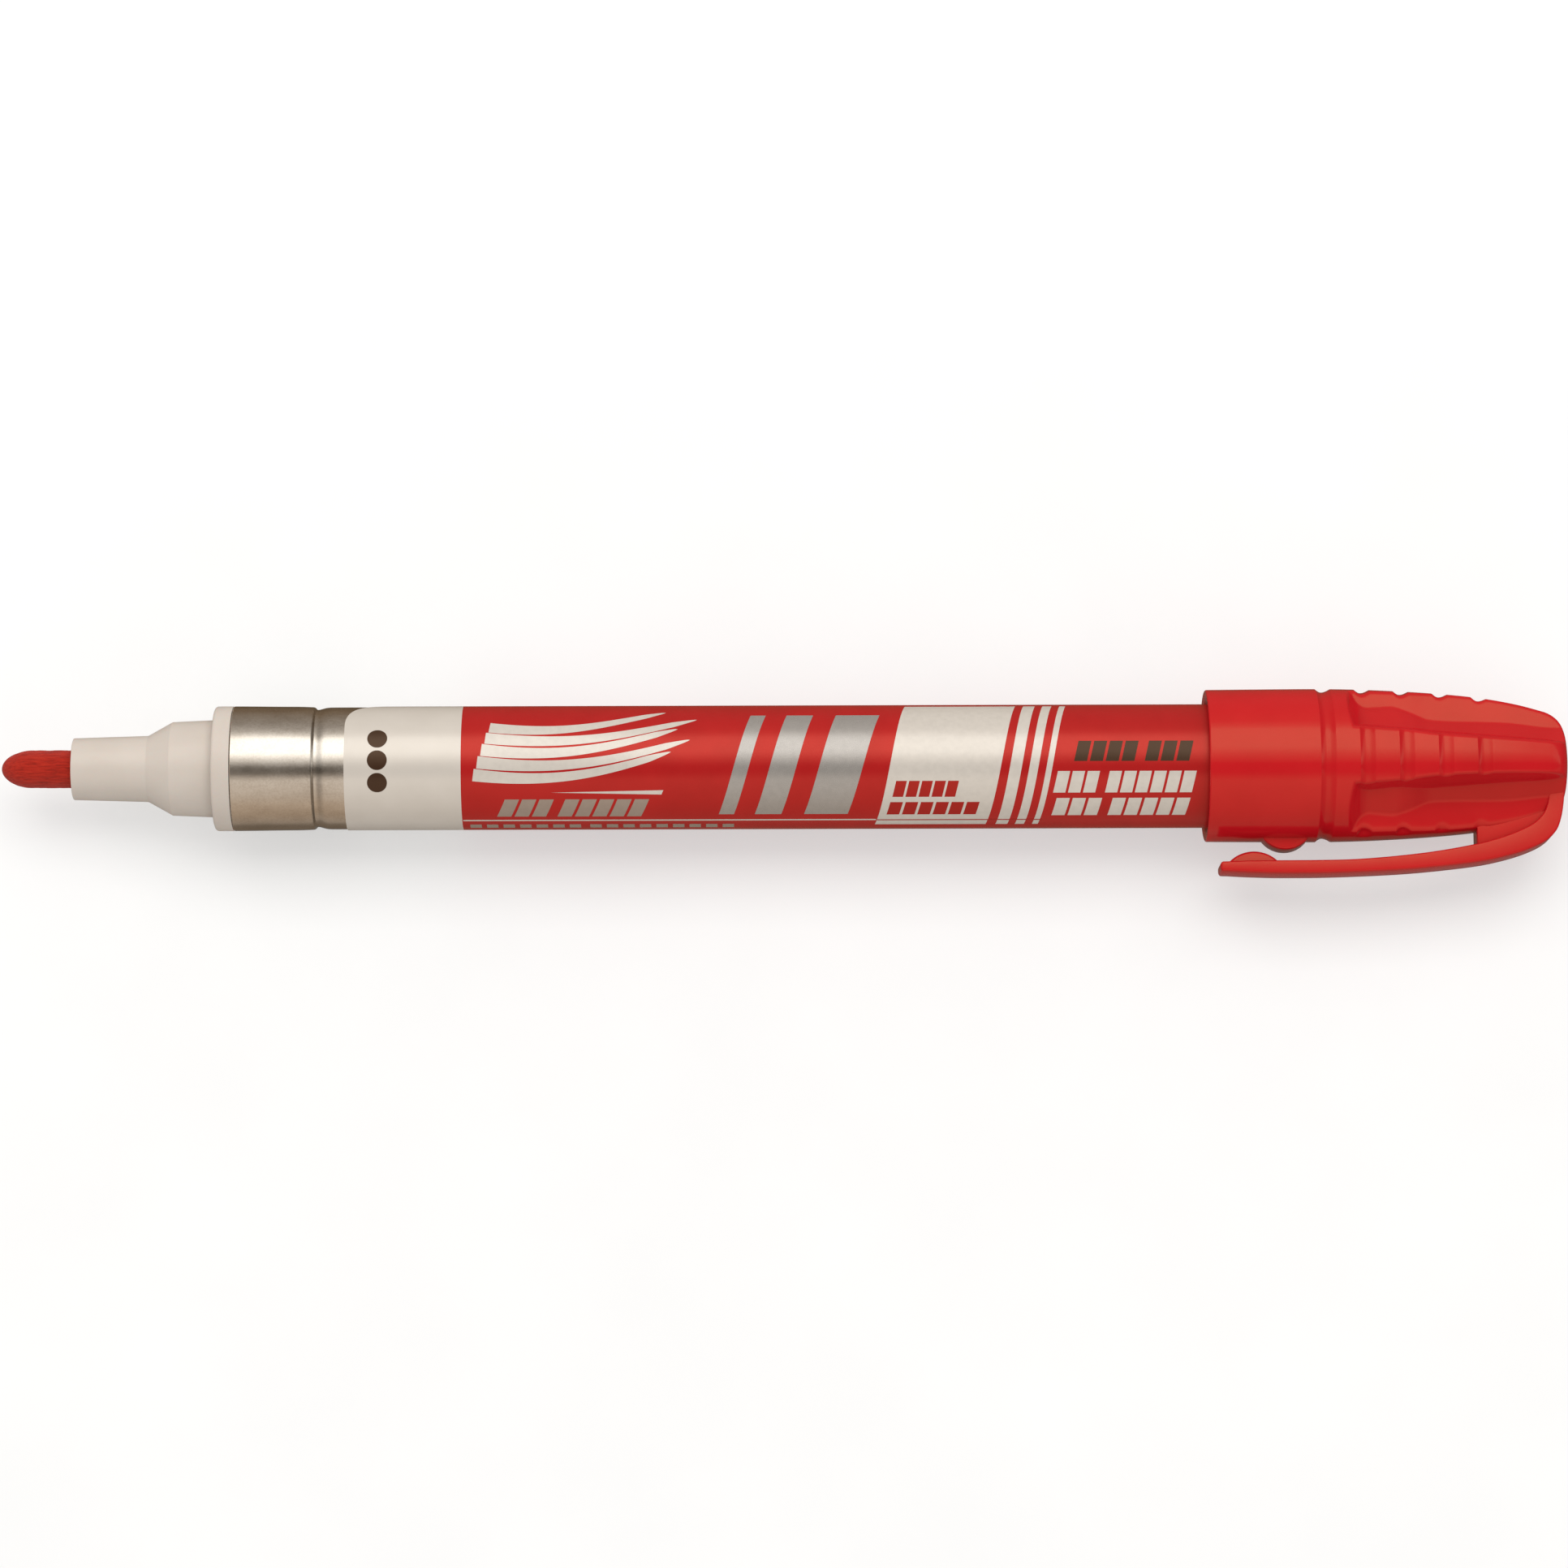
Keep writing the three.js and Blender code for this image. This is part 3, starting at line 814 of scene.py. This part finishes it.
def cap_end():
    """The cap's rounded back corner and its slightly domed end, as (d, radius)."""
    knots = np.linspace(0, 1, len(CAP_CORNER))
    along_d, along_r = (list(zip(knots, values)) for values in zip(*CAP_CORNER))
    corner = [(float(spline(along_d, t)), float(spline(along_r, t))) for t in np.linspace(0, 1, 36)[1:]]
    return corner + [(CAP_LENGTH, 0)]


def notch_depth(d):
    """Depth of the ring groove and the finger notches, which have crisp outer edges and a rounded floor."""
    nearest = min(NOTCHES, max(0, round((d - RING_AT) / NOTCH_PITCH)))
    away = d - (RING_AT + nearest * NOTCH_PITCH)
    share = -away / NOTCH_FRONT if away < 0 else away / NOTCH_BACK
    return NOTCH_DEPTH * math.sin(math.pi / 2 * (1 - min(1, share)))


def make_cap():
    """The lobed cap: ring groove all round, notches on three lobes, scoops between the four lobes."""
    bore, mouth_r, lip = 6.85, 8.08, 0.2
    grooved, shaped = RING_AT - 1, 31.5  # the grooves lie between these distances
    plain, fine, even = 0.7, 0.09, 0.3  # steps before, along and behind the grooves
    side, closest = 0.015, 0.012
    fronts = [RING_AT + k * NOTCH_PITCH - NOTCH_FRONT for k in range(NOTCHES + 1)]
    runs = [
        np.arange(lip, grooved, plain),
        np.arange(grooved, shaped, fine),
        np.arange(shaped, CAP_CORNER[0][0], even),
        [front + step for front in fronts for step in (-side, side)],  # these keep the notches' edges crisp
    ]
    stations = np.sort(np.concatenate(runs))
    stations = stations[np.concatenate([[True], np.diff(stations) > closest])]
    edge = arc(lip, mouth_r - lip, lip, 180, 90, 6)
    outside = edge + [(d, float(spline(CAP_SHAPE, d))) for d in stations[1:]] + cap_end()
    inner = [
        (36.6, 0, 0), (36.6, 3, 0.3), (29.8, 3.1, 0.1), (29.2, 4.15, 0.1), (20, 4.2, 0.2), (18.4, 5.45, 0.2),
        (13.8, 5.55, 0.1), (13.6, bore - 0.1, 0.1), (0.5, bore, 0.3), (0, bore + 0.35, 0.1),
    ]
    outline = [(d + CAP_MOUTH, r) for d, r in outside + rounded(inner)]
    outer_count = len(outside)
    fold, lobe_edge = 0.12, 0.4  # how far the edges inside a scoop and along a lobe are softened

    def lobed(i, s, r, angles):
        radii = np.full(len(angles), r)
        if i >= outer_count:
            return radii
        d = s - CAP_MOUTH
        ring = d < RING_AT + NOTCH_PITCH / 2
        from_clip = np.abs((angles + math.pi / 2 + math.pi) % (2 * math.pi) - math.pi)
        share = 1.0 if ring else smooth_step(*NOTCHES_END, from_clip)
        radii = radii - notch_depth(d) * share
        if d < SCOOP_START:
            return radii
        quarter = math.pi / 2
        from_scoop = np.abs(angles % quarter - quarter / 2)
        floor = float(spline(SCOOP_FLOOR, d)) / np.cos(from_scoop)
        flank = float(spline(SCOOP_FLANK, d)) / np.cos(from_scoop + FLANK_TURN)
        scoop = -smooth_min(-floor, -flank, fold)
        return np.minimum(radii, smooth_min(radii, scoop, lobe_edge * min(1.0, r / 3)))

    stand_in(lathe("cap_moulding", outline, RED, 360, lobed, sharp=60), "cap")


def block(name, outline, half_width, edge):
    """A red plate with rounded edges on both faces, from an outline of (d, y)."""
    mesh = bpy.data.meshes.new(name)
    bm = bmesh.new()
    corners = [np.array([d + CAP_MOUTH, y, -half_width]) * MM + ORIGIN for d, y in outline]
    face = bm.faces.new([bm.verts.new(tuple(corner)) for corner in corners])
    moved = bmesh.ops.extrude_face_region(bm, geom=[face])["geom"]
    top = [v for v in moved if isinstance(v, bmesh.types.BMVert)]
    bmesh.ops.translate(bm, verts=top, vec=(0, 0, 2 * half_width * MM))
    bmesh.ops.recalc_face_normals(bm, faces=bm.faces)
    rims = [e for e in bm.edges if abs(e.verts[0].co.z - e.verts[1].co.z) < SAME]
    bmesh.ops.bevel(bm, geom=rims, offset=edge * MM, segments=4, affect="EDGES", profile=0.5)
    bm.to_mesh(mesh)
    bm.free()
    return add_shaded(mesh, RED, 40)


def make_pad_and_web():
    """The pad on the cap's side, a segment of a disc, and the web that joins the clip's root to the cap."""
    pad_r, pad_at, proud, foot = 3.0, 8.35, 9.18, 7.5  # proud and foot: how far out its top and flat side lie
    pad_half_width, web_half_width = 1.6, 1.75
    reach = math.degrees(math.acos((foot - proud + pad_r) / pad_r))
    pad_outline = arc(pad_at, pad_r - proud, pad_r, -90 - reach, -90 + reach, 30)
    pad = block("cap_pad", pad_outline, pad_half_width, 0.25)
    web_outline = [(28.6, -4.5), (28.6, -8.95), (33, -7.9), (36.2, -6.0), (36.6, -3.6), (34, -3.2)]
    web = block("clip_web", web_outline, web_half_width, 0.12)
    for piece in (pad, web):
        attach(piece, "cap")


# Rows of the clip's side view: outer edge (d, y), inner edge (d, y)
CLIP_ROWS = [
    (2.2, -11.56, 2.2, -10.52),
    (4.5, -11.69, 4.5, -10.44),
    (8, -11.78, 8, -10.42),
    (12, -11.77, 12, -10.4),
    (16, -11.66, 15.9, -10.3),
    (20.6, -11.44, 20.4, -9.94),
    (24.7, -11.09, 24.4, -9.45),
    (28.9, -10.58, 28.3, -8.75),
    (31.6, -10.02, 30.8, -8.1),
    (33.9, -9.32, 32.9, -7.34),
    (35.8, -8.42, 34.5, -6.53),
    (36.95, -7.3, 35.5, -5.6),
    (37.5, -5.9, 36, -4.6),
    (37.8, -4.2, 36.2, -3.5),
    (37.95, -2.4, 36.3, -2.2),
]
CLIP_HALF_WIDTH = 2.2
CLIP_EDGE = 0.22
CLIP_TIP = span("clip")[0] - CAP_MOUTH - 0.3  # the photo's clip is this much longer than the CAD's
TIP_ROUND = 0.35
PAD_AT, PAD_HALF, PAD_RISE = 5.0, 2.6, 1.1
PAD_FOOT = -10.44
PAD_SINKS = 12  # the degrees of arc at each end that lie inside the arm
PAD_HALF_WIDTH = 1.35


def clip_section(outer, inner, half_width, edge):
    """A rounded rectangle across the clip between its outer and inner edge."""
    outer, inner = np.array(outer), np.array(inner)
    half = np.linalg.norm(inner - outer) / 2
    radius = min(edge, half * 0.95, half_width * 0.95)
    across = (inner - outer) / (2 * half)
    middle_point = (outer + inner) / 2
    section = []
    for q, (sign_t, sign_z) in enumerate(((1, 1), (-1, 1), (-1, -1), (1, -1))):
        for t in np.linspace(0, math.pi / 2, 6):
            turn = t + q * math.pi / 2
            a = sign_t * (half - radius) + radius * math.cos(turn)
            z = sign_z * (half_width - radius) + radius * math.sin(turn)
            d, y = middle_point + across * a
            section.append((d + CAP_MOUTH, y, z))
    return section


def make_clip():
    """The clip's arm with its curved root, and the pad that rides on it."""
    knots = np.linspace(0, 1, len(CLIP_ROWS))
    columns = [list(zip(knots, values)) for values in zip(*CLIP_ROWS)]
    rows = [[float(spline(column, t)) for column in columns] for t in np.linspace(0, 1, 190)]
    sections = []
    _, low, _, high = rows[0]
    middle_y, tip_half = (low + high) / 2, (high - low) / 2
    for turn in np.radians(np.linspace(90, 8, 8)):
        inset = TIP_ROUND * (1 - math.cos(turn))
        d = CLIP_TIP + TIP_ROUND * (1 - math.sin(turn))
        half = tip_half - inset
        ends = (d, middle_y - half), (d, middle_y + half)
        sections.append(clip_section(*ends, CLIP_HALF_WIDTH - inset, CLIP_EDGE))
    for outer_d, outer_y, inner_d, inner_y in rows[1:]:
        sections.append(clip_section((outer_d, outer_y), (inner_d, inner_y), CLIP_HALF_WIDTH, CLIP_EDGE))
    points = [p for section in sections for p in section]
    clip = add_mesh("clip_moulding", points, tube_faces(len(sections), len(sections[0])), RED, sharp=45)
    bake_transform(clip)
    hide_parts("clip")

    pad_r = (PAD_HALF**2 + PAD_RISE**2) / (2 * PAD_RISE)
    reach = math.degrees(math.asin(PAD_HALF / pad_r)) + PAD_SINKS
    outline = arc(PAD_AT, PAD_FOOT + PAD_RISE - pad_r, pad_r, 90 - reach, 90 + reach, 28)
    pad = block("clip_pad", outline, PAD_HALF_WIDTH, 0.3)
    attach(pad, "clip")


def make_inner_cap():
    """The soft cup inside the cap."""
    corners = [
        (18.1, 5.2, 0.1), (18.5, 5.2, 0.1), (20.2, 4.02, 0.3), (29, 4.02, 0.3), (29.6, 2.9, 0.2),
        (36.3, 2.8, 0.3), (36.3, 0, 0), (35.9, 0, 0), (35.9, 2.35, 0.3), (29, 2.45, 0.2), (28.7, 3.6, 0.3),
        (20, 3.65, 0.3),
    ]
    cup = lathe("inner_cap_moulding", [(d + CAP_MOUTH, r) for d, r in rounded(corners)], NATURAL, 96)
    stand_in(cup, "inner_cap", "cap")


# ---------------------------------------------------------------------------------------------------------
# Floor, light and camera

CAMERA_ELEVATION = math.radians(81)
CAMERA_DISTANCE = 0.603
FRAME_WIDTH = 0.16655  # what the camera sees across, at the marker
VIEW_ROLL = math.radians(-0.16)
SENSOR = 36

# The studio that glossy rays see, as (degrees from straight up towards +Y, brightness, warmth): a softbox on
# one side, a dimmer card on the other, a dark gap between them where the camera stands, and a dim floor below
STUDIO = [
    (-180, 0.16, 0.2), (-172, 0.15, 0.4), (-160, 0.15, 0.8), (-141, 0.17, 0.6), (-130, 0.32, 0.5),
    (-105, 0.36, 0.7), (-81, 0.47, 0.6), (-57, 0.57, 0.33), (-31, 0.69, 0.2), (-24, 0.38, 0.3),
    (-19, 0.12, 0.3), (-5, 0.10, 0.3), (-1, 0.40, 0.1), (10, 0.95, 0.0), (20, 1.70, -0.12), (48, 1.66, -0.12),
    (54, 0.92, 0.0), (63, 0.46, 0.1), (80, 0.32, 0.2), (98, 0.26, 0.4), (125, 0.18, 0.9), (150, 0.12, 1.0),
    (168, 0.13, 0.9), (180, 0.16, 0.2),
]
NEUTRAL, BROWN = (1.0, 0.957, 0.905), (1.0, 0.70, 0.44)  # the colours of warmth 0 and 1
SIDE_FADE = {"From Min": 0.28, "From Max": 0.72, "To Min": 1.0, "To Max": 0.48}
CAMERA_GLOW_SHARE = 0.45  # painted light: the share of the floor that glows at a fixed brightness for the camera, which lightens its shadow
SOFT_LIGHT_TURN = math.radians(24)
SOFT_LIGHT_DISTANCE = 0.8
SOFT_LIGHT_SIZE = 0.9, 0.5
SOFT_LIGHT_POWER = 4.1
ROOM_LIGHT = 0.72


def studio_group():
    """A node group that turns a ray's direction into the brightness of the studio there."""
    tree = bpy.data.node_groups.new("studio", "ShaderNodeTree")
    tree.interface.new_socket("Direction", in_out="INPUT", socket_type="NodeSocketVector")
    tree.interface.new_socket("Colour", in_out="OUTPUT", socket_type="NodeSocketColor")
    inlet, outlet = tree.nodes.new("NodeGroupInput"), tree.nodes.new("NodeGroupOutput")
    split = tree.nodes.new("ShaderNodeSeparateXYZ")
    tree.links.new(inlet.outputs[0], split.inputs[0])
    turn = tree.nodes.new("ShaderNodeMath")
    turn.operation = "ARCTAN2"
    tree.links.new(split.outputs["Y"], turn.inputs[0])
    tree.links.new(split.outputs["Z"], turn.inputs[1])
    share = tree.nodes.new("ShaderNodeMapRange")
    for key, value in {"From Min": -math.pi, "From Max": math.pi}.items():
        share.inputs[key].default_value = value
    tree.links.new(turn.outputs[0], share.inputs["Value"])
    ramp = tree.nodes.new("ShaderNodeValToRGB")
    tree.links.new(share.outputs[0], ramp.inputs[0])
    stops = []
    for degrees, brightness, warmth in STUDIO:
        colour = [brightness * (n + (b - n) * warmth) for n, b in zip(NEUTRAL, BROWN)]
        stops.append(((degrees + 180) / 360, colour))
    fill_ramp(ramp, stops)
    # The studio's lights end at both sides, so what faces along the marker is darker
    side = tree.nodes.new("ShaderNodeMath")
    side.operation = "ABSOLUTE"
    tree.links.new(split.outputs["X"], side.inputs[0])
    fade = tree.nodes.new("ShaderNodeMapRange")
    fade.interpolation_type = "SMOOTHSTEP"
    for key, value in SIDE_FADE.items():
        fade.inputs[key].default_value = value
    tree.links.new(side.outputs[0], fade.inputs["Value"])
    dim = tree.nodes.new("ShaderNodeVectorMath")
    dim.operation = "SCALE"
    tree.links.new(ramp.outputs["Color"], dim.inputs[0])
    tree.links.new(fade.outputs["Result"], dim.inputs["Scale"])
    tree.links.new(dim.outputs[0], outlet.inputs[0])
    return tree


def make_stage(studio):
    """A wide pale floor that partly glows for the camera, painted light that lightens its shadow. Glossy rays
    see it glow in the studio's tone.
    """
    bm = bmesh.new()
    bmesh.ops.create_grid(bm, x_segments=1, y_segments=1, size=3)
    mesh = bpy.data.meshes.new("floor")
    bm.to_mesh(mesh)
    bm.free()
    floor = add_object("floor", mesh)
    floor.location.z = -0.1 * MM  # just clear of what lies on it
    m = Shader("floor_paper")
    paper = m.ramp(m.noise(40), (0.3, (0.86, 0.86, 0.855)), (0.7, (0.9, 0.9, 0.895)))
    m.set(Base_Color=paper, Roughness=0.9, Specular_IOR_Level=0.1)
    back = m.add("ShaderNodeVectorMath", operation="SCALE")
    m.feed(back.inputs[0], m.add("ShaderNodeNewGeometry").outputs["Incoming"])
    back.inputs["Scale"].default_value = -1
    seen = m.add("ShaderNodeGroup", node_tree=studio)
    m.feed(seen.inputs[0], back.outputs[0])
    # Painted light: for glossy rays the floor glows in the studio's tone, and for camera rays it partly glows
    # at a fixed brightness, which lightens the shadow
    glow, camera_glow = m.add("ShaderNodeEmission"), m.add("ShaderNodeEmission")
    m.feed(glow.inputs["Color"], seen.outputs[0])
    rays = m.add("ShaderNodeLightPath")
    camera_mix, either = m.add("ShaderNodeMixShader"), m.add("ShaderNodeMixShader")
    m.feed(camera_mix.inputs[0], m.math("MULTIPLY", rays.outputs["Is Camera Ray"], CAMERA_GLOW_SHARE))
    m.feed(camera_mix.inputs[1], m.surface.outputs[0])
    m.feed(camera_mix.inputs[2], camera_glow.outputs[0])
    m.feed(either.inputs[0], rays.outputs["Is Glossy Ray"])
    m.feed(either.inputs[1], camera_mix.outputs[0])
    m.feed(either.inputs[2], glow.outputs[0])
    m.feed(m.tree.nodes["Material Output"].inputs["Surface"], either.outputs[0])
    m.material.cycles.emission_sampling = "NONE"
    mesh.materials.append(m.material)


def make_world(studio):
    """Soft light from all round, and the studio for glossy rays."""
    world = bpy.data.worlds.new("studio")
    bpy.context.scene.world = world
    world.use_nodes = True
    tree = world.node_tree
    tree.nodes.clear()
    seen = tree.nodes.new("ShaderNodeGroup")
    seen.node_tree = studio
    tree.links.new(tree.nodes.new("ShaderNodeTexCoord").outputs["Generated"], seen.inputs[0])
    plain, glossy = tree.nodes.new("ShaderNodeBackground"), tree.nodes.new("ShaderNodeBackground")
    plain.inputs["Color"].default_value = (1.0, 0.99, 0.975, 1)
    plain.inputs["Strength"].default_value = ROOM_LIGHT
    tree.links.new(seen.outputs[0], glossy.inputs["Color"])
    mix = tree.nodes.new("ShaderNodeMixShader")
    tree.links.new(tree.nodes.new("ShaderNodeLightPath").outputs["Is Glossy Ray"], mix.inputs[0])
    tree.links.new(plain.outputs[0], mix.inputs[1])
    tree.links.new(glossy.outputs[0], mix.inputs[2])
    tree.links.new(mix.outputs[0], tree.nodes.new("ShaderNodeOutputWorld").inputs[0])
    world.cycles.sampling_method = "NONE"


def make_light():
    """One wide soft light above and behind the marker. The studio round it makes the reflections."""
    data = bpy.data.lights.new("soft_light", "AREA")
    data.shape = "RECTANGLE"
    data.size, data.size_y = SOFT_LIGHT_SIZE
    data.energy = SOFT_LIGHT_POWER
    data.color = (1.0, 0.975, 0.95)
    light = add_object("soft_light", data)
    away = Vector((0, math.sin(SOFT_LIGHT_TURN), math.cos(SOFT_LIGHT_TURN)))
    light.location = away * SOFT_LIGHT_DISTANCE
    light.rotation_euler = (-SOFT_LIGHT_TURN, 0, 0)
    light.visible_glossy = False


def make_camera():
    """The photo's view: nearly straight down, tipped a little towards the clip's side."""
    data = bpy.data.cameras.new("camera")
    data.sensor_width = SENSOR
    data.lens = SENSOR * CAMERA_DISTANCE / FRAME_WIDTH
    camera = add_object("camera", data)
    target = Vector((0, 0, AXIS.z))
    back = Vector((0, -math.cos(CAMERA_ELEVATION), math.sin(CAMERA_ELEVATION)))
    camera.location = target + back * CAMERA_DISTANCE
    camera.rotation_mode = "QUATERNION"
    turned = (-back).to_track_quat("-Z", "Y").to_matrix()
    roll = Matrix.Rotation(VIEW_ROLL, 3, "Z")
    camera.rotation_quaternion = (turned @ roll).to_quaternion()
    data.clip_start, data.clip_end = 0.01, 20
    bpy.context.scene.camera = camera


make_nib()
make_nozzle()
make_seal()
make_valve()
finish_cage()
make_balls()
make_barrel()
make_label()
make_print()
make_cap()
make_pad_and_web()
make_clip()
make_inner_cap()
studio = studio_group()
make_stage(studio)
make_world(studio)
make_light()
make_camera()
bpy.context.scene.view_settings.view_transform = "Standard"
